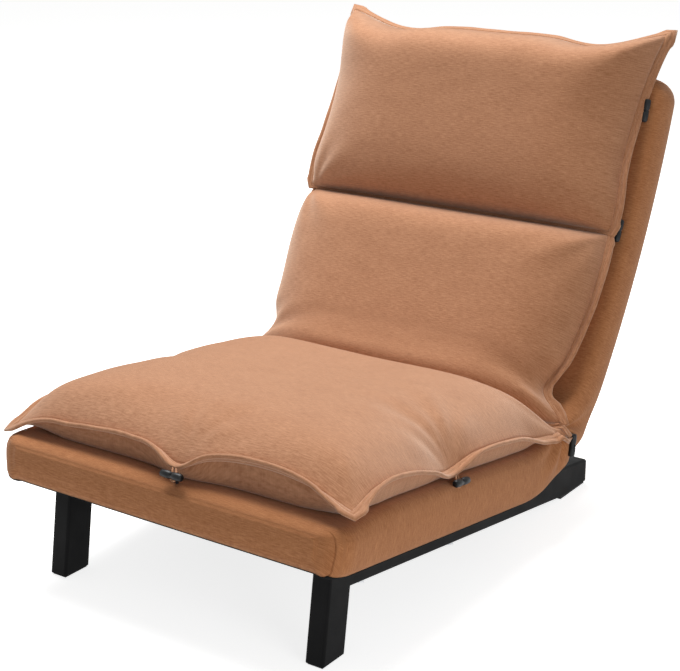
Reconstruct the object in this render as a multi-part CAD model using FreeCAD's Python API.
import FreeCAD, Part
import math
import os

from FreeCAD import Placement, Rotation, Vector

# Adjustable floor chair, in millimetres and degrees.
# The chair is drawn in the seat's own axes: x to the sitter's left, "along" from the front
# edge to the rear down the sloping rails, "up" square to the rails' top plane.
# SEAT then tips everything by the seat's slope and stands it on the floor.

# Steel stand
STAND_WIDTH = 490.0
STAND_TUBE_DEPTH = 50.0
STAND_TUBE_WIDTH = 30.0
STAND_TUBE_WALL = 2.0
STAND_TUBE_CORNER = 4.0
SEAT_TILT = 8.6
RAIL_TOP_HEIGHT = 155.0
RAIL_REACH = 752.0
CROSS_TUBE_SIZE = 30.0
CROSS_TUBE_WALL = 1.5
FRONT_CROSS_ALONG = 170.0
REAR_CROSS_ALONG = 540.0

# Plastic feet, glides and caps
FOOT_SOLE = 3.0
FOOT_INSET = 3.0
FOOT_PLUG_HEIGHT = 22.0
GLIDE_SOLE = 4.0
CAP_PLATE = 2.5
CAP_PLUG_LENGTH = 18.0
PLUG_CLEARANCE = 0.15

# Fasteners that hold the seat frame on the rails
BOLT_DIAMETER = 8.0
BOLT_HEAD_ACROSS = 13.0
BOLT_HEAD_HEIGHT = 5.3
BOLT_HOLE_CLEARANCE = 0.5
BOLT_FRONT_ALONG = 115.0
BOLT_REAR_ALONG = 350.0
WASHER_DIAMETER = 18.0
WASHER_THICK = 1.6
SPACER_DIAMETER = 20.0
NUT_DIAMETER = 11.0
NUT_LENGTH = 13.0
THREAD_CLEARANCE = 0.05

# Upholstered slab: flat seat, bend over the hinge, gently curved back
SLAB_WIDTH = 596.0
SLAB_THICK = 72.0
SLAB_FRONT = -44.0
BEND_START = 450.0
BEND_RADIUS = 265.0
BEND_TURN = 62.6
BACK_RADIUS = 1523.0
BACK_LENGTH = 505.0
EDGE_ROUND = 18.0
COVER_THICK = 1.5
HEM_WIDTH = 10.0
DUST_CLOTH_THICK = 1.0
FIT_GAP = 0.3

# Tubular seat and back frames inside the slab
FRAME_TUBE_DIAMETER = 22.0
FRAME_TUBE_WALL = 1.5
WELD_GAP = 0.1
FRAME_HEIGHT = 32.0
FRAME_SETBACK = 40.0
FRAME_STOP = 10.0
FRAME_ROOM = 5.0
STRAP_WIDTH = 50.0
STRAP_THICK = 1.6
STRAP_WRAP = 110.0
SEAT_STRAPS = 5
BACK_STRAPS = 5

# Ratchet hinge
PIVOT_INSET = 38.0
PIVOT_DIAMETER = 10.0
PIVOT_CLEARANCE = 0.05
PIVOT_HEAD_DIAMETER = 16.0
PIVOT_HEAD_THICK = 3.0
ARM_THICK = 4.0
ARM_LAP = 60.0
ARM_END_RADIUS = 10.0
ARM_EYE_RADIUS = 20.0
ARM_SPACING = 1.5
HINGE_CLEARANCE = 0.15
RATCHET_RADIUS = 24.0
RATCHET_TOOTH = 4.0
RATCHET_SLOPE_SHARE = 0.8
RATCHET_POSITIONS = 5
RECLINE_TRAVEL = 58.0
PAWL_PIN_DIAMETER = 6.0
PAWL_PIN_HEAD_DIAMETER = 10.0
PAWL_PIN_HEAD_THICK = 1.5
PAWL_PIN_REACH = 44.0
PAWL_BOSS_RADIUS = 7.0
PAWL_NOSE_RADIUS = 3.0
PAWL_SWING = 45.0
PAWL_TOOTH_GAP = 0.4
SPRING_THICK = 0.8
SPRING_FOOT = 7.0

# Loose topper: three stuffed cushions
SEAT_CUSHION_INSET = 4.0
LUMBAR_CUSHION_INSET = 15.0
HEAD_CUSHION_INSET = 11.0
CUSHION_DRAW = 10.0
CUSHION_SHOULDER_RUN = 85.0
CUSHION_SHOULDER_SHARE = 0.72
CUSHION_SHOULDER_BULGE = 0.12
CUSHION_SOLE_SAG = 4.4
CUSHION_SOLE_SETBACK = 60.0
CUSHION_SINK = 3.0
CUSHION_EDGE_THICK = 8.0
SEAM_HEIGHT = 25.0
SEAT_SEAM_DIP = 10.0
LUMBAR_SEAM_RISE = 5.0
SEAT_CROWN = 108.0
LUMBAR_CROWN = 106.0
HEAD_CROWN = 104.0
SEAT_CUSHION_FRONT = -18.0
CUSHION_MEETING = 18.0
CUSHION_MEETING_GAP = 2.0
CREASE_UP_BACK = 220.0
CREASE_GAP = 6.0
HEAD_RISE = 70.0
HEAD_SAG = 27.0
HEAD_LEAN = 17.0
HEAD_LEAN_START = 0.7

# Toggle fasteners between topper and slab
TOGGLE_LENGTH = 36.0
TOGGLE_DIAMETER = 11.0
TOGGLE_END_ROUND = 3.0
TOGGLE_CORD_DIAMETER = 4.0
TOGGLE_CORD_CLEARANCE = 0.05
TOGGLE_STANDOFF = 3.0
LOOP_CORD_DIAMETER = 2.0
FRONT_TOGGLE_SIDE = 26.0
SEAT_TOGGLE_ALONG = 245.0
CREASE_TOGGLE_UP_BACK = 230.0
HEAD_TOGGLE_UP_BACK = 425.0

X_AXIS = Vector(1, 0, 0)
Y_AXIS = Vector(0, 1, 0)
Z_AXIS = Vector(0, 0, 1)
FAR = 3000.0
SIDES = {"left": 1, "right": -1}

SEAT = Placement(Vector(0, 0, RAIL_TOP_HEIGHT), Rotation(X_AXIS, -SEAT_TILT))
TILT_SIN = math.sin(math.radians(SEAT_TILT))
TILT_COS = math.cos(math.radians(SEAT_TILT))
STAND_X = (STAND_WIDTH - STAND_TUBE_WIDTH) / 2
RAIL_INNER_X = STAND_WIDTH / 2 - STAND_TUBE_WIDTH
LEG_FRONT = RAIL_TOP_HEIGHT * TILT_SIN
TUBE_RADIUS = FRAME_TUBE_DIAMETER / 2
FRAME_FRONT = SLAB_FRONT + FRAME_SETBACK
FRAME_REAR = BEND_START - FRAME_STOP
SLAB_SIDE = SLAB_WIDTH / 2
BEND_CENTRE = (BEND_START, BEND_RADIUS)


# Small geometry helpers

def box(x0, x1, along0, along1, up0, up1):
    return Part.makeBox(x1 - x0, along1 - along0, up1 - up0, Vector(x0, along0, up0))


def side_point(along, up):
    return Vector(0, along, up)


def polar(centre, radius, degrees):
    angle = math.radians(degrees)
    return (centre[0] + radius * math.cos(angle), centre[1] + radius * math.sin(angle))


def spread(face, x0, x1):
    """Extrude a face that lies in the plane x = 0 from x0 to x1."""
    solid = face.extrude(Vector(x1 - x0, 0, 0))
    solid.translate(Vector(x0, 0, 0))
    return solid


def prism(corners, x0, x1):
    points = [side_point(*corner) for corner in corners]
    wire = Part.makePolygon(points + points[:1])
    return spread(Part.Face(wire), x0, x1)


def disc(centre, radius, x0, x1):
    return Part.makeCylinder(radius, x1 - x0, Vector(x0, centre[0], centre[1]), X_AXIS)


def arc_edge(start, middle, end):
    return Part.Arc(start, middle, end).toShape()


def line_edge(start, end):
    return Part.LineSegment(start, end).toShape()


def band(centre, outer, inner, start, end, x0, x1):
    """Part of a ring between two radii. Angles turn from straight down towards the rear."""
    def at(radius, turn):
        return side_point(*polar(centre, radius, turn - 90))
    middle = (start + end) / 2
    edges = [
        arc_edge(at(outer, start), at(outer, middle), at(outer, end)),
        line_edge(at(outer, end), at(inner, end)),
        arc_edge(at(inner, end), at(inner, middle), at(inner, start)),
        line_edge(at(inner, start), at(outer, start)),
    ]
    return spread(Part.Face(Part.Wire(edges)), x0, x1)


def bar(centre_a, radius_a, centre_b, radius_b, x0, x1):
    """Flat bar with two round ends, its edges tangent to both."""
    run = (centre_b[0] - centre_a[0], centre_b[1] - centre_a[1])
    length = math.hypot(*run)
    heading = math.degrees(math.atan2(run[1], run[0]))
    lean = math.degrees(math.acos((radius_a - radius_b) / length))

    def at(centre, radius, turn):
        return side_point(*polar(centre, radius, heading + turn))
    edges = [
        line_edge(at(centre_a, radius_a, lean), at(centre_b, radius_b, lean)),
        arc_edge(at(centre_b, radius_b, lean), at(centre_b, radius_b, 0),
                 at(centre_b, radius_b, -lean)),
        line_edge(at(centre_b, radius_b, -lean), at(centre_a, radius_a, -lean)),
        arc_edge(at(centre_a, radius_a, -lean), at(centre_a, radius_a, 180),
                 at(centre_a, radius_a, lean)),
    ]
    return spread(Part.Face(Part.Wire(edges)), x0, x1)


def rounded_rectangle(width, depth, corner):
    half_w = width / 2
    half_d = depth / 2
    solid = Part.makeBox(width, depth, 1, Vector(-half_w, -half_d, 0))
    upright = [e for e in solid.Edges if abs(e.Vertexes[0].Z - e.Vertexes[1].Z) > 0.5]
    rounded = solid.makeFillet(corner, upright)
    bottom = min(rounded.Faces, key=lambda face: face.CenterOfMass.z)
    return bottom


def rod_section(width, depth, corner, length, inset=0.0):
    """Solid bar with rounded corners, up the z axis, drawn in by inset all round."""
    corner = max(corner - inset, 0.5)
    face = rounded_rectangle(width - 2 * inset, depth - 2 * inset, corner)
    return face.extrude(Vector(0, 0, -length if face.normalAt(0, 0).z < 0 else length))


def stand_bar(inset, length, mirror):
    """Bar of the stand's tube section, standing on z = 0."""
    solid = rod_section(STAND_TUBE_WIDTH, STAND_TUBE_DEPTH, STAND_TUBE_CORNER, length, inset)
    low = solid.BoundBox.ZMin
    solid.translate(Vector(mirror * STAND_X, 0, -low))
    return solid


def group(solids):
    return Part.makeCompound(solids)


def fuse(first, *others):
    return first.multiFuse(list(others)).removeSplitter()


def tipped(solid):
    """Move a solid from the seat's axes to the floor's."""
    moved = solid.copy()
    moved.Placement = SEAT.multiply(moved.Placement)
    return moved


def above(height):
    return Part.makeBox(2 * FAR, 2 * FAR, FAR, Vector(-FAR, -FAR, height))


def before(along):
    return Part.makeBox(2 * FAR, FAR, 2 * FAR, Vector(-FAR, along - FAR, -FAR))


def turned_to(solid, place, axis, across):
    """Put a solid drawn round z at a place, with its z on axis and its x on across."""
    rotation = Rotation(across, axis.cross(across), axis, "ZXY")
    moved = solid.copy()
    moved.Placement = Placement(place, rotation).multiply(moved.Placement)
    return moved


# The slab's top and front surface, followed from the front edge up the back

BEND_INNER_RADIUS = BEND_RADIUS - SLAB_THICK
BEND_INNER_LENGTH = math.radians(BEND_TURN) * BEND_INNER_RADIUS
BACK_FOOT = BEND_START + BEND_INNER_LENGTH
BEND_EXIT = polar(BEND_CENTRE, BEND_RADIUS, BEND_TURN - 90)
BACK_CENTRE = polar(BEND_EXIT, BACK_RADIUS, BEND_TURN + 90)
BACK_INNER_RADIUS = BACK_RADIUS - SLAB_THICK
BACK_INNER_LENGTH = BACK_LENGTH * BACK_INNER_RADIUS / BACK_RADIUS


def surface(run):
    """Place and heading on the padded surface at a run measured along it."""
    if run <= BEND_START:
        return (run, SLAB_THICK), 0.0
    if run <= BACK_FOOT:
        turn = math.degrees((run - BEND_START) / BEND_INNER_RADIUS)
        return polar(BEND_CENTRE, BEND_INNER_RADIUS, turn - 90), turn
    turn = BEND_TURN + math.degrees((run - BACK_FOOT) / BACK_INNER_RADIUS)
    return polar(BACK_CENTRE, BACK_INNER_RADIUS, turn - 90), turn


def surface_ways(run):
    """Directions square to the padded surface and along it at a run."""
    turn = math.radians(surface(run)[1])
    return Vector(0, -math.sin(turn), math.cos(turn)), Vector(0, math.cos(turn), math.sin(turn))


def frame_height_on_back(arc, height):
    """Place inside the back at an arc up its rear face and a height off that face."""
    turn = BEND_TURN + math.degrees(arc / BACK_RADIUS)
    return polar(BACK_CENTRE, BACK_RADIUS - height, turn - 90)


PIVOT = polar(BEND_CENTRE, BEND_RADIUS - PIVOT_INSET, BEND_TURN / 2 - 90)


# Steel stand

def mitre_side(keep_leg):
    """Large wedge on one side of the joint between leg and rail."""
    corner = (LEG_FRONT, 0)
    upper = (LEG_FRONT - FAR, FAR)
    lower = (LEG_FRONT + FAR, -FAR)
    far = (LEG_FRONT - FAR, -FAR) if keep_leg else (LEG_FRONT + FAR, FAR)
    return prism([upper, corner, lower, far], -FAR, FAR)


def leg_bar(inset, mirror):
    solid = stand_bar(inset, FAR, mirror)
    solid.translate(Vector(0, LEG_FRONT + STAND_TUBE_DEPTH / 2, -FAR - inset))
    return solid


def rail_bar(inset, mirror):
    solid = stand_bar(inset, FAR, mirror)
    solid.rotate(Vector(), X_AXIS, -90)
    solid.translate(Vector(0, LEG_FRONT + inset, -STAND_TUBE_DEPTH / 2))
    return solid


def stand_tube(bar_shape, mirror, keep_leg):
    shell = bar_shape(0, mirror).cut(bar_shape(STAND_TUBE_WALL, mirror))
    return shell.common(mitre_side(keep_leg))


def front_leg(mirror):
    return tipped(stand_tube(leg_bar, mirror, True)).common(above(FOOT_SOLE))


def bolt_places():
    return [(mirror * STAND_X, along)
            for mirror in SIDES.values()
            for along in (BOLT_FRONT_ALONG, BOLT_REAR_ALONG)]


def bolt_rod(radius, low, high, place):
    return Part.makeCylinder(radius, high - low, Vector(place[0], place[1], low), Z_AXIS)


def bolt_holes(radius):
    return [bolt_rod(radius, -FAR, FAR, place) for place in bolt_places()]


def side_rail(mirror):
    tube = stand_tube(rail_bar, mirror, False)
    tube = tube.cut(bolt_holes(BOLT_DIAMETER / 2 + BOLT_HOLE_CLEARANCE))
    return tipped(tube).common(above(GLIDE_SOLE)).common(before(RAIL_REACH - CAP_PLATE))


def cross_tube(along):
    outer = CROSS_TUBE_SIZE / 2
    inner = outer - CROSS_TUBE_WALL
    middle = -STAND_TUBE_DEPTH / 2
    reach = RAIL_INNER_X
    tube = box(-reach, reach, along - outer, along + outer, middle - outer, middle + outer)
    bore = box(-reach, reach, along - inner, along + inner, middle - inner, middle + inner)
    return tipped(tube.cut(bore))


def leg_foot(mirror):
    """Sole under the leg, and the plug that holds it in the tube."""
    slant = FOOT_SOLE * math.tan(math.radians(SEAT_TILT))
    length = STAND_TUBE_DEPTH / TILT_COS
    half = STAND_TUBE_WIDTH / 2 - FOOT_INSET
    centre = mirror * STAND_X
    sole = box(centre - half, centre + half, slant + FOOT_INSET, slant + length - FOOT_INSET,
               0, FOOT_SOLE)
    plug = tipped(leg_bar(STAND_TUBE_WALL + PLUG_CLEARANCE, mirror)).common(above(FOOT_SOLE))
    ceiling = Part.makeBox(2 * FAR, 2 * FAR, FOOT_PLUG_HEIGHT, Vector(-FAR, -FAR, FOOT_SOLE))
    return fuse(sole, plug.common(ceiling))


def rear_glide(mirror):
    """Pad under the flat cut where each rail comes down to the floor."""
    drop = RAIL_TOP_HEIGHT - STAND_TUBE_DEPTH * TILT_COS - GLIDE_SOLE
    start = drop / TILT_SIN * TILT_COS - STAND_TUBE_DEPTH * TILT_SIN
    half = STAND_TUBE_WIDTH / 2 - FOOT_INSET / 2
    centre = mirror * STAND_X
    return box(centre - half, centre + half, start + FOOT_INSET, RAIL_REACH - FOOT_INSET,
               0, GLIDE_SOLE)


def rail_end_cap(mirror):
    end = RAIL_REACH - CAP_PLATE
    plate = tipped(rail_bar(0, mirror)).common(above(GLIDE_SOLE))
    plate = plate.common(before(RAIL_REACH)).cut(before(end))
    plug = tipped(rail_bar(STAND_TUBE_WALL + PLUG_CLEARANCE, mirror))
    plug = plug.common(above(GLIDE_SOLE + PLUG_CLEARANCE))
    plug = plug.common(before(end)).cut(before(end - CAP_PLUG_LENGTH))
    return fuse(plate, plug)


# Fasteners between the rails and the seat frame

def frame_bolt(place):
    head_top = -STAND_TUBE_DEPTH - WASHER_THICK
    corner = BOLT_HEAD_ACROSS / math.sqrt(3)
    corners = [Vector(place[0] + corner * math.cos(math.radians(60 * i)),
                      place[1] + corner * math.sin(math.radians(60 * i)),
                      head_top - BOLT_HEAD_HEIGHT) for i in range(6)]
    face = Part.Face(Part.makePolygon(corners + corners[:1]))
    head = face.extrude(Vector(0, 0, BOLT_HEAD_HEIGHT))
    tip = FRAME_HEIGHT - TUBE_RADIUS + NUT_LENGTH
    return tipped(fuse(head, bolt_rod(BOLT_DIAMETER / 2, head_top, tip, place)))


def bolt_washer(place):
    low = -STAND_TUBE_DEPTH - WASHER_THICK
    ring = bolt_rod(WASHER_DIAMETER / 2, low, -STAND_TUBE_DEPTH, place)
    return tipped(ring.cut(bolt_rod(BOLT_DIAMETER / 2 + BOLT_HOLE_CLEARANCE, -FAR, FAR, place)))


def rivet_nut(place):
    low = FRAME_HEIGHT - TUBE_RADIUS
    body = bolt_rod(NUT_DIAMETER / 2, low, low + NUT_LENGTH, place)
    return tipped(body.cut(bolt_rod(BOLT_DIAMETER / 2 + THREAD_CLEARANCE, -FAR, FAR, place)))


def frame_spacer(place):
    """Collar from the rail's top to the tube above, hollowed to seat on it."""
    body = bolt_rod(SPACER_DIAMETER / 2, 0, FRAME_HEIGHT, place)
    hole = bolt_rod(NUT_DIAMETER / 2 + THREAD_CLEARANCE, -FAR, FAR, place)
    seat = Part.makeCylinder(TUBE_RADIUS, 2 * FAR, Vector(place[0], -FAR, FRAME_HEIGHT), Y_AXIS)
    return tipped(body.cut([hole, seat]))


# Seat frame: a tube down each side, one across the front, one across the rear, and straps

def seat_tube_rod(radius, mirror):
    start = Vector(mirror * STAND_X, FRAME_FRONT, FRAME_HEIGHT)
    return Part.makeCylinder(radius, FRAME_REAR - FRAME_FRONT, start, Y_AXIS)


def seat_side_tube(mirror):
    tube = seat_tube_rod(TUBE_RADIUS, mirror)
    tube = tube.cut(seat_tube_rod(TUBE_RADIUS - FRAME_TUBE_WALL, mirror))
    low = FRAME_HEIGHT - TUBE_RADIUS - 1
    holes = [bolt_rod(NUT_DIAMETER / 2 + THREAD_CLEARANCE, low, FRAME_HEIGHT, place)
             for place in bolt_places()]
    return tipped(tube.cut(holes))


def across_tube(centre, reach, end_cutters):
    tube = disc(centre, TUBE_RADIUS, -reach, reach)
    tube = tube.cut(disc(centre, TUBE_RADIUS - FRAME_TUBE_WALL, -reach, reach))
    return tipped(tube.cut(end_cutters))


SEAT_TUBE_ENDS = {
    "seat_front_tube": FRAME_FRONT + FRAME_TUBE_DIAMETER,
    "seat_rear_tube": FRAME_REAR - FRAME_TUBE_DIAMETER - ARM_LAP / 2,
}


def seat_across_tube(along):
    rods = [seat_tube_rod(TUBE_RADIUS + WELD_GAP, mirror) for mirror in SIDES.values()]
    return across_tube((along, FRAME_HEIGHT), STAND_X, rods)


def strap(tube_x, length):
    """Webbing across the frame, lapped round both side tubes, with their axes at height 0."""
    inner = TUBE_RADIUS + FIT_GAP
    outer = inner + STRAP_THICK
    half = length / 2
    top = Part.makeBox(2 * tube_x, length, STRAP_THICK, Vector(-tube_x, -half, inner))
    pieces = [top]
    for mirror in SIDES.values():
        def at(radius, turn):
            angle = math.radians(90 - turn)
            x = mirror * (tube_x + radius * math.cos(angle))
            return Vector(x, -half, radius * math.sin(angle))
        edges = [
            arc_edge(at(outer, 0), at(outer, STRAP_WRAP / 2), at(outer, STRAP_WRAP)),
            line_edge(at(outer, STRAP_WRAP), at(inner, STRAP_WRAP)),
            arc_edge(at(inner, STRAP_WRAP), at(inner, STRAP_WRAP / 2), at(inner, 0)),
            line_edge(at(inner, 0), at(outer, 0)),
        ]
        pieces.append(Part.Face(Part.Wire(edges)).extrude(Vector(0, length, 0)))
    return fuse(*pieces)


def spaced(count, first, last):
    step = (last - first) / (count + 1)
    return [first + step * (i + 1) for i in range(count)]


def seat_straps():
    first = SEAT_TUBE_ENDS["seat_front_tube"]
    last = SEAT_TUBE_ENDS["seat_rear_tube"]
    straps = []
    for along in spaced(SEAT_STRAPS, first, last):
        piece = strap(STAND_X, STRAP_WIDTH)
        piece.translate(Vector(0, along, FRAME_HEIGHT))
        straps.append(tipped(piece))
    return group(straps)


# Ratchet hinge at each end of the frames

SEAT_ARM_X = STAND_X + TUBE_RADIUS
BACK_ARM_X = SEAT_ARM_X - ARM_SPACING - ARM_THICK
BACK_TUBE_X = BACK_ARM_X - TUBE_RADIUS
BACK_TUBE_START = FRAME_STOP
BACK_TUBE_END = BACK_LENGTH - FRAME_SETBACK + TUBE_RADIUS
ARM_HEADING = math.degrees(math.atan2(FRAME_HEIGHT - PIVOT[1], FRAME_REAR - PIVOT[0])) % 360
PAWL_PIN = polar(PIVOT, PAWL_PIN_REACH, ARM_HEADING)
PAWL_NOSE_REACH = RATCHET_RADIUS + PAWL_TOOTH_GAP + PAWL_NOSE_RADIUS
PAWL_NOSE = polar(PIVOT, PAWL_NOSE_REACH, ARM_HEADING + PAWL_SWING)
RATCHET_PITCH = RECLINE_TRAVEL / (RATCHET_POSITIONS - 1)


def mirrored(solid, mirror):
    return solid if mirror > 0 else solid.mirror(Vector(), X_AXIS)


def seat_hinge_arm(mirror):
    low = SEAT_ARM_X
    high = SEAT_ARM_X + ARM_THICK
    lap = (FRAME_REAR - ARM_LAP, FRAME_HEIGHT)
    end = (FRAME_REAR, FRAME_HEIGHT)
    plate = fuse(bar(lap, ARM_END_RADIUS, end, TUBE_RADIUS, low, high),
                 bar(end, TUBE_RADIUS, PIVOT, ARM_EYE_RADIUS, low, high))
    plate = plate.cut([disc(PIVOT, PIVOT_DIAMETER / 2 + THREAD_CLEARANCE, low, high),
                       disc(PAWL_PIN, PAWL_PIN_DIAMETER / 2 + THREAD_CLEARANCE, low, high)])
    return tipped(mirrored(plate, mirror))


def ratchet_notch(number, low, high):
    """One saw tooth gap: a radial face and a slope back up to the rim."""
    start = ARM_HEADING + PAWL_SWING + number * RATCHET_PITCH
    rim = RATCHET_RADIUS + 1
    root = RATCHET_RADIUS - RATCHET_TOOTH
    corners = [polar(PIVOT, rim, start), polar(PIVOT, root, start),
               polar(PIVOT, rim, start + RATCHET_SLOPE_SHARE * RATCHET_PITCH)]
    return prism(corners, low, high)


def back_hinge_arm(mirror):
    low = BACK_ARM_X
    high = BACK_ARM_X + ARM_THICK
    foot = frame_height_on_back(BACK_TUBE_START, FRAME_HEIGHT)
    tip = frame_height_on_back(BACK_TUBE_START + ARM_LAP, FRAME_HEIGHT)
    plate = fuse(bar(PIVOT, RATCHET_RADIUS, foot, TUBE_RADIUS, low, high),
                 bar(foot, TUBE_RADIUS, tip, ARM_END_RADIUS, low, high))
    cuts = [ratchet_notch(i, low, high) for i in range(RATCHET_POSITIONS)]
    cuts.append(disc(PIVOT, PIVOT_DIAMETER / 2 + PIVOT_CLEARANCE, low, high))
    return tipped(mirrored(plate.cut(cuts), mirror))


def headed_pin(centre, radius, head_radius, head, inner, outer):
    """Pin between two x values, with a flat head beyond each."""
    return fuse(disc(centre, radius, inner, outer),
                disc(centre, head_radius, inner - head, inner),
                disc(centre, head_radius, outer, outer + head))


def pivot_pin(mirror):
    pin = headed_pin(PIVOT, PIVOT_DIAMETER / 2, PIVOT_HEAD_DIAMETER / 2, PIVOT_HEAD_THICK,
                     BACK_ARM_X - HINGE_CLEARANCE, SEAT_ARM_X + ARM_THICK)
    return tipped(mirrored(pin, mirror))


def hinge_washer(mirror):
    low = BACK_ARM_X + ARM_THICK + HINGE_CLEARANCE
    ring = disc(PIVOT, PIVOT_HEAD_DIAMETER / 2, low, SEAT_ARM_X)
    ring = ring.cut(disc(PIVOT, PIVOT_DIAMETER / 2 + THREAD_CLEARANCE, low, SEAT_ARM_X))
    return tipped(mirrored(ring, mirror))


def pawl_pin(mirror):
    pin = headed_pin(PAWL_PIN, PAWL_PIN_DIAMETER / 2, PAWL_PIN_HEAD_DIAMETER / 2, PAWL_PIN_HEAD_THICK,
                     BACK_ARM_X - HINGE_CLEARANCE, SEAT_ARM_X + ARM_THICK)
    return tipped(mirrored(pin, mirror))


def pawl(mirror):
    low = BACK_ARM_X
    high = BACK_ARM_X + ARM_THICK
    body = bar(PAWL_PIN, PAWL_BOSS_RADIUS, PAWL_NOSE, PAWL_NOSE_RADIUS, low, high)
    hole = disc(PAWL_PIN, PAWL_PIN_DIAMETER / 2 + PIVOT_CLEARANCE, low, high)
    return tipped(mirrored(body.cut(hole), mirror))


def pawl_spring(mirror):
    """Leaf along the back of the pawl, with a foot fixed to the seat arm."""
    run = (PAWL_NOSE[0] - PAWL_PIN[0], PAWL_NOSE[1] - PAWL_PIN[1])
    length = math.hypot(*run)
    heading = math.degrees(math.atan2(run[1], run[0]))
    gap = PAWL_BOSS_RADIUS + FIT_GAP
    leaf = box(BACK_ARM_X, BACK_ARM_X + ARM_THICK, -SPRING_FOOT, length,
               -gap - SPRING_THICK, -gap)
    foot = box(BACK_ARM_X, SEAT_ARM_X, -2 * SPRING_FOOT, -SPRING_FOOT,
               -gap - SPRING_THICK, -gap + SPRING_FOOT)
    spring = fuse(leaf, foot)
    if PAWL_SWING < 0:
        spring = spring.mirror(Vector(), Z_AXIS)
    spring.rotate(Vector(), X_AXIS, heading)
    spring.translate(side_point(*PAWL_PIN))
    return tipped(mirrored(spring, mirror))


# Back frame: two curved side tubes, three tubes across, and straps

def back_tube_rod(radius, mirror):
    start = frame_height_on_back(BACK_TUBE_START, FRAME_HEIGHT)
    turn = BEND_TURN + math.degrees(BACK_TUBE_START / BACK_RADIUS)
    sweep = math.degrees((BACK_TUBE_END - BACK_TUBE_START) / BACK_RADIUS)
    heading = Vector(0, math.cos(math.radians(turn)), math.sin(math.radians(turn)))
    place = Vector(mirror * BACK_TUBE_X, *start)
    face = Part.Face(Part.Wire(Part.makeCircle(radius, place, heading)))
    return face.revolve(Vector(0, *BACK_CENTRE), X_AXIS, sweep)


def back_side_tube(mirror):
    tube = back_tube_rod(TUBE_RADIUS, mirror)
    return tipped(tube.cut(back_tube_rod(TUBE_RADIUS - FRAME_TUBE_WALL, mirror)))


BACK_TUBE_ENDS = {
    "back_lower_tube": BACK_TUBE_START + ARM_LAP + FRAME_TUBE_DIAMETER,
    "back_middle_tube": (BACK_TUBE_START + BACK_TUBE_END) / 2,
    "back_top_tube": BACK_LENGTH - FRAME_SETBACK,
}


def back_across_tube(arc):
    rods = [back_tube_rod(TUBE_RADIUS + WELD_GAP, mirror) for mirror in SIDES.values()]
    return across_tube(frame_height_on_back(arc, FRAME_HEIGHT), BACK_TUBE_X, rods)


def back_straps():
    first = BACK_TUBE_ENDS["back_lower_tube"]
    last = BACK_TUBE_ENDS["back_top_tube"]
    straps = []
    for arc in spaced(BACK_STRAPS, first, last):
        piece = strap(BACK_TUBE_X, STRAP_WIDTH)
        piece.rotate(Vector(), X_AXIS, BEND_TURN + math.degrees(arc / BACK_RADIUS))
        piece.translate(side_point(*frame_height_on_back(arc, FRAME_HEIGHT)))
        straps.append(tipped(piece))
    return group(straps)


# Upholstered slab: foam and fabric cover of the seat, the bend and the back

def rounded_slab(solid, inset, open_ends):
    """Round every edge except those round the slab's open ends."""
    def at_open_end(edge):
        return any(all(end(v.Point) for v in edge.Vertexes) for end in open_ends)
    edges = [edge for edge in solid.Edges if not at_open_end(edge)]
    return solid.makeFillet(max(EDGE_ROUND - inset, 1.0), edges)


def seat_slab(inset):
    half = SLAB_SIDE - inset
    solid = box(-half, half, SLAB_FRONT + inset, BEND_START, inset, SLAB_THICK - inset)
    return rounded_slab(solid, inset, [lambda p: abs(p.y - BEND_START) < 0.01])


def bend_end(turn):
    heading = Vector(0, math.cos(math.radians(turn)), math.sin(math.radians(turn)))
    place = side_point(*polar(BEND_CENTRE, BEND_RADIUS, turn - 90))
    return lambda p: abs((p - place).dot(heading)) < 0.01


def bend_slab(inset):
    half = SLAB_SIDE - inset
    solid = band(BEND_CENTRE, BEND_RADIUS - inset, BEND_INNER_RADIUS + inset,
                 0, BEND_TURN, -half, half)
    foot = bend_end(0)
    top = bend_end(BEND_TURN)
    return rounded_slab(solid, inset, [foot, top])


def back_slab(inset):
    half = SLAB_SIDE - inset
    solid = band(BACK_CENTRE, BACK_RADIUS - inset, BACK_INNER_RADIUS + inset,
                 BEND_TURN, BEND_TURN + math.degrees((BACK_LENGTH - inset) / BACK_RADIUS),
                 -half, half)
    return rounded_slab(solid, inset, [bend_end(BEND_TURN)])


HEM_SIDE = SLAB_SIDE - EDGE_ROUND - HEM_WIDTH
HEM_FRONT = SLAB_FRONT + EDGE_ROUND + HEM_WIDTH
FOAM_INSET = COVER_THICK + FIT_GAP
POCKET_SIDE = SEAT_ARM_X + ARM_THICK + PIVOT_HEAD_THICK + FRAME_ROOM
POCKET_INNER = BACK_TUBE_X - TUBE_RADIUS - FRAME_ROOM
POCKET_TOP = FRAME_HEIGHT + TUBE_RADIUS + FRAME_ROOM
POCKET_LOW = FRAME_HEIGHT - TUBE_RADIUS - FRAME_ROOM
DUST_TOP = COVER_THICK + DUST_CLOTH_THICK


def seat_cover():
    opening = box(-HEM_SIDE, HEM_SIDE, HEM_FRONT, BEND_START, -1, DUST_TOP)
    return tipped(seat_slab(0).cut([seat_slab(COVER_THICK), opening]))


def seat_dust_cloth():
    """Black cloth over the underside, lapped over the inside of the cover's hem."""
    half = HEM_SIDE + HEM_WIDTH
    cloth = box(-half, half, HEM_FRONT - HEM_WIDTH, BEND_START, COVER_THICK, DUST_TOP)
    return tipped(cloth.cut(bolt_holes(SPACER_DIAMETER / 2 + BOLT_HOLE_CLEARANCE)))


def seat_foam():
    pocket = box(-POCKET_SIDE, POCKET_SIDE, FRAME_FRONT - FRAME_ROOM, BEND_START,
                 -1, POCKET_TOP)
    under = box(-FAR, FAR, -FAR, FAR, -1, DUST_TOP + FIT_GAP)
    return tipped(seat_slab(FOAM_INSET).cut([pocket, under]))


def bend_cover():
    return tipped(bend_slab(0).cut(bend_slab(COVER_THICK)))


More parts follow.
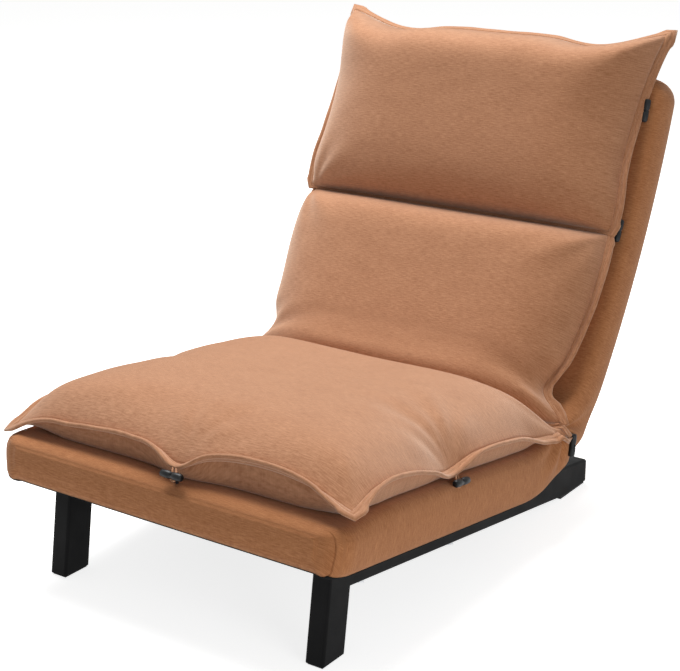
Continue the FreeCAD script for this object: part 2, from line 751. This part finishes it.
def bend_foam():
    """Foam over the hinge, slit on each side for the hinge arms."""
    slab = bend_slab(FOAM_INSET)
    slots = [box(min(mirror * POCKET_INNER, mirror * POCKET_SIDE),
                 max(mirror * POCKET_INNER, mirror * POCKET_SIDE), 0, FAR, -FAR, FAR)
             for mirror in SIDES.values()]
    return tipped(slab.cut(slots))


def back_cover():
    return tipped(back_slab(0).cut(back_slab(COVER_THICK)))


def back_foam():
    """Foam sleeve, open at its foot, that slides over the back frame."""
    top = BACK_TUBE_END + FRAME_ROOM
    pocket = band(BACK_CENTRE, BACK_RADIUS - POCKET_LOW, BACK_RADIUS - POCKET_TOP,
                  BEND_TURN - 1, BEND_TURN + math.degrees(top / BACK_RADIUS),
                  -POCKET_SIDE, POCKET_SIDE)
    return tipped(back_slab(FOAM_INSET).cut(pocket))


# Topper cushions: lofts through crowned sections that close to a seam at each free end

def cushion_section(run, half, seam, crown, sole):
    """Closed outline square to the padded surface, heights measured off that surface."""
    place, turn = surface(run)
    out = (-math.sin(math.radians(turn)), math.cos(math.radians(turn)))

    def at(x, height):
        return Vector(x, place[0] + out[0] * height, place[1] + out[1] * height)

    def bulge(a, b, share):
        dx = b[0] - a[0]
        dh = b[1] - a[1]
        return ((a[0] + b[0]) / 2 + share * dh, (a[1] + b[1]) / 2 - share * dx)

    sole_right = (half - CUSHION_SOLE_SETBACK, sole)
    seam_right = (half, seam)
    shoulder = (half - CUSHION_SHOULDER_RUN, seam + CUSHION_SHOULDER_SHARE * (crown - seam))
    low = bulge(sole_right, seam_right, CUSHION_SOLE_SAG / CUSHION_SOLE_SETBACK)
    high = bulge(seam_right, shoulder, CUSHION_SHOULDER_BULGE)

    def left(point):
        return at(-point[0], point[1])

    def right(point):
        return at(*point)
    return Part.Wire([
        line_edge(left(sole_right), right(sole_right)),
        arc_edge(right(sole_right), right(low), right(seam_right)),
        arc_edge(right(seam_right), right(high), right(shoulder)),
        arc_edge(right(shoulder), at(0, crown), left(shoulder)),
        arc_edge(left(shoulder), left(high), left(seam_right)),
        arc_edge(left(seam_right), left(low), left(sole_right)),
    ])


def cushion(first, last, inset, fullness, crown, seam_at, cutters):
    """Loft from one end of the cushion to the other, pressed flat on the slabs below it.

    inset is the seam's setback from the slab's sides at the ends; fullness lists (share of the
    length, share of the full height); seam_at gives the seam's height at a share of the length;
    cutters are the slabs and what else takes material away.
    """
    sections = []
    for share, full in fullness:
        seam = seam_at(share)
        half = SLAB_SIDE - inset - CUSHION_DRAW * 4 * share * (1 - share)
        rise = max(full * (crown - seam), CUSHION_EDGE_THICK / 2)
        drop = max(min(2 * full, 1) * (seam + CUSHION_SINK), CUSHION_EDGE_THICK / 2)
        run = first + share * (last - first)
        sections.append(cushion_section(run, half, seam, seam + rise, seam - drop))
    stuffed = Part.makeLoft(sections, True, False)
    pressed = stuffed.cut(cutters)
    return tipped(max(pressed.Solids, key=lambda solid: solid.Volume))


MEETING = BEND_START + math.radians(CUSHION_MEETING) * BEND_INNER_RADIUS
CREASE = BACK_FOOT + CREASE_UP_BACK
HEAD_END = BACK_FOOT + BACK_INNER_LENGTH + HEAD_RISE


def seat_cushion():
    shape = [(0, 0), (0.035, 0.36), (0.12, 0.64), (0.3, 0.88), (0.55, 1), (0.8, 0.98),
             (0.93, 0.86), (1, 0.7)]
    return cushion(SEAT_CUSHION_FRONT, MEETING - CUSHION_MEETING_GAP, SEAT_CUSHION_INSET, shape,
                   SEAT_CROWN, lambda share: SEAM_HEIGHT - SEAT_SEAM_DIP * (1 - share) ** 4,
                   [seat_slab(-FIT_GAP), bend_slab(-FIT_GAP)])


def lumbar_cushion():
    shape = [(0, 0.76), (0.1, 0.92), (0.3, 1), (0.58, 1), (0.82, 0.9), (0.95, 0.68), (1, 0.46)]
    return cushion(MEETING + CUSHION_MEETING_GAP, CREASE - CREASE_GAP / 2, LUMBAR_CUSHION_INSET,
                   shape, LUMBAR_CROWN, lambda share: SEAM_HEIGHT + LUMBAR_SEAM_RISE,
                   [bend_slab(-FIT_GAP), back_slab(-FIT_GAP)])


def head_sag():
    """Round cutter over the head cushion's top end, so that its edge hangs between the corners."""
    out, heading = surface_ways(HEAD_END)
    half = SLAB_SIDE - HEAD_CUSHION_INSET
    radius = (half ** 2 + HEAD_SAG ** 2) / (2 * HEAD_SAG)
    middle = side_point(*surface(HEAD_END)[0]) + heading * (radius - HEAD_SAG)
    return Part.makeCylinder(radius, 4 * HEAD_CROWN, middle - out * (2 * HEAD_CROWN), out)


def head_cushion():
    shape = [(0, 0.5), (0.05, 0.7), (0.18, 0.92), (0.42, 1), (0.62, 0.97), (0.8, 0.86),
             (0.91, 0.6), (0.97, 0.3), (1, 0)]
    fall = (SEAM_HEIGHT + HEAD_LEAN) / (1 - HEAD_LEAN_START) ** 2
    return cushion(CREASE + CREASE_GAP / 2, HEAD_END, HEAD_CUSHION_INSET, shape, HEAD_CROWN,
                   lambda share: SEAM_HEIGHT - fall * max(0, share - HEAD_LEAN_START) ** 2,
                   [back_slab(-FIT_GAP), head_sag()])


# Toggle fasteners

HALF_ROOT = math.sqrt(0.5)
ROUND_DEPTH = EDGE_ROUND * (1 - HALF_ROOT)


def edge_site(run, mirror):
    """Place, outward axis and edge direction on the slab's rounded side edge at a run."""
    out, heading = surface_ways(run)
    spot = side_point(*surface(run)[0]) - out * ROUND_DEPTH
    spot = spot + X_AXIS * (mirror * (SLAB_SIDE - ROUND_DEPTH))
    return spot, (X_AXIS * mirror + out) * HALF_ROOT, heading


def face_site(run, mirror):
    """The same on the padded surface, where the rounding of its side edge begins."""
    out, heading = surface_ways(run)
    spot = side_point(*surface(run)[0]) + X_AXIS * (mirror * (SLAB_SIDE - EDGE_ROUND))
    return spot, out, heading


def front_site():
    spot = Vector(FRONT_TOGGLE_SIDE, SLAB_FRONT + ROUND_DEPTH, SLAB_THICK - ROUND_DEPTH)
    return spot, (Z_AXIS - Y_AXIS) * HALF_ROOT, X_AXIS


def hinge_site(mirror):
    return Vector(mirror * SLAB_SIDE, *PIVOT), X_AXIS * mirror, Z_AXIS


TOGGLE_SITES = {"front": front_site()}
for side, sign in SIDES.items():
    TOGGLE_SITES["seat_" + side] = edge_site(SEAT_TOGGLE_ALONG, sign)
    TOGGLE_SITES["hinge_" + side] = hinge_site(sign)
    TOGGLE_SITES["crease_" + side] = face_site(BACK_FOOT + CREASE_TOGGLE_UP_BACK, sign)
    TOGGLE_SITES["head_" + side] = face_site(BACK_FOOT + HEAD_TOGGLE_UP_BACK, sign)

SEAT_SITES = ["front", "seat_left", "seat_right", "hinge_left", "hinge_right"]
BACK_SITES = ["crease_left", "crease_right", "head_left", "head_right"]
TOGGLE_AXIS_HEIGHT = TOGGLE_STANDOFF + TOGGLE_DIAMETER / 2


def toggle(site):
    """Barrel lying across its cord, with softened ends."""
    half = TOGGLE_LENGTH / 2
    start = Vector(-half, 0, TOGGLE_AXIS_HEIGHT)
    barrel = Part.makeCylinder(TOGGLE_DIAMETER / 2, TOGGLE_LENGTH, start, X_AXIS)
    rims = [edge for edge in barrel.Edges if len(edge.Vertexes) == 1]
    barrel = barrel.makeFillet(TOGGLE_END_ROUND, rims)
    hole = Part.makeCylinder(TOGGLE_CORD_DIAMETER / 2 + TOGGLE_CORD_CLEARANCE, FAR)
    return tipped(turned_to(barrel.cut(hole), *TOGGLE_SITES[site]))


def toggle_cord(site):
    reach = TOGGLE_AXIS_HEIGHT + TOGGLE_DIAMETER / 2 - FIT_GAP
    cord = Part.makeCylinder(TOGGLE_CORD_DIAMETER / 2, reach, Vector(0, 0, FIT_GAP))
    return tipped(turned_to(cord, *TOGGLE_SITES[site]))


def cushion_loop(site):
    """Elastic loop of the topper, caught behind the toggle."""
    thick = LOOP_CORD_DIAMETER / 2
    ring = Part.makeTorus(TOGGLE_CORD_DIAMETER / 2 + FIT_GAP + thick, thick,
                          Vector(0, 0, FIT_GAP + thick), Z_AXIS)
    return tipped(turned_to(ring, *TOGGLE_SITES[site]))


# The whole chair

def chair():
    nodes = {}
    for side, sign in SIDES.items():
        nodes["front_leg_" + side] = front_leg(sign)
        nodes["side_rail_" + side] = side_rail(sign)
        nodes["leg_foot_" + side] = leg_foot(sign)
        nodes["seat_side_tube_" + side] = seat_side_tube(sign)
        nodes["seat_hinge_arm_" + side] = seat_hinge_arm(sign)
        nodes["back_hinge_arm_" + side] = back_hinge_arm(sign)
        nodes["pivot_pin_" + side] = pivot_pin(sign)
        nodes["pawl_" + side] = pawl(sign)
        nodes["pawl_spring_" + side] = pawl_spring(sign)
        nodes["back_side_tube_" + side] = back_side_tube(sign)
    nodes["rear_glides"] = group([rear_glide(sign) for sign in SIDES.values()])
    nodes["rail_end_caps"] = group([rail_end_cap(sign) for sign in SIDES.values()])
    nodes["hinge_washers"] = group([hinge_washer(sign) for sign in SIDES.values()])
    nodes["pawl_pins"] = group([pawl_pin(sign) for sign in SIDES.values()])
    nodes["front_cross_tube"] = cross_tube(FRONT_CROSS_ALONG)
    nodes["rear_cross_tube"] = cross_tube(REAR_CROSS_ALONG)
    nodes["frame_bolts"] = group([frame_bolt(place) for place in bolt_places()])
    nodes["bolt_washers"] = group([bolt_washer(place) for place in bolt_places()])
    nodes["rivet_nuts"] = group([rivet_nut(place) for place in bolt_places()])
    nodes["frame_spacers"] = group([frame_spacer(place) for place in bolt_places()])
    for name, along in SEAT_TUBE_ENDS.items():
        nodes[name] = seat_across_tube(along)
    for name, arc in BACK_TUBE_ENDS.items():
        nodes[name] = back_across_tube(arc)
    nodes["seat_straps"] = seat_straps()
    nodes["back_straps"] = back_straps()
    nodes["seat_foam"] = seat_foam()
    nodes["seat_cover"] = seat_cover()
    nodes["seat_dust_cloth"] = seat_dust_cloth()
    nodes["bend_foam"] = bend_foam()
    nodes["bend_cover"] = bend_cover()
    nodes["back_foam"] = back_foam()
    nodes["back_cover"] = back_cover()
    nodes["seat_cushion"] = seat_cushion()
    nodes["lumbar_cushion"] = lumbar_cushion()
    nodes["head_cushion"] = head_cushion()
    for site in TOGGLE_SITES:
        nodes["toggle_" + site] = toggle(site)
    nodes["seat_toggle_cords"] = group([toggle_cord(site) for site in SEAT_SITES])
    nodes["back_toggle_cords"] = group([toggle_cord(site) for site in BACK_SITES])
    nodes["seat_cushion_loops"] = group([cushion_loop(site) for site in SEAT_SITES])
    nodes["back_cushion_loops"] = group([cushion_loop(site) for site in BACK_SITES])
    return nodes


def footprint_centre(nodes):
    """Middle of the chair's length, which becomes y = 0."""
    boxes = [shape.optimalBoundingBox() for shape in nodes.values()]
    return (min(b.YMin for b in boxes) + max(b.YMax for b in boxes)) / 2


os.makedirs("parts", exist_ok=True)
chair_nodes = chair()
CENTRE_Y = footprint_centre(chair_nodes)
for node, shape in chair_nodes.items():
    shape.translate(Vector(0, -CENTRE_Y, 0))
    shape.exportStep("parts/" + node + ".step")


def in_floor_axes(point):
    return SEAT.multVec(point) - Vector(0, CENTRE_Y, 0)


pivot_place = in_floor_axes(side_point(*PIVOT))
print("nodes:", len(chair_nodes))
print("recline pivot (y, z):", round(pivot_place.y, 3), round(pivot_place.z, 3))
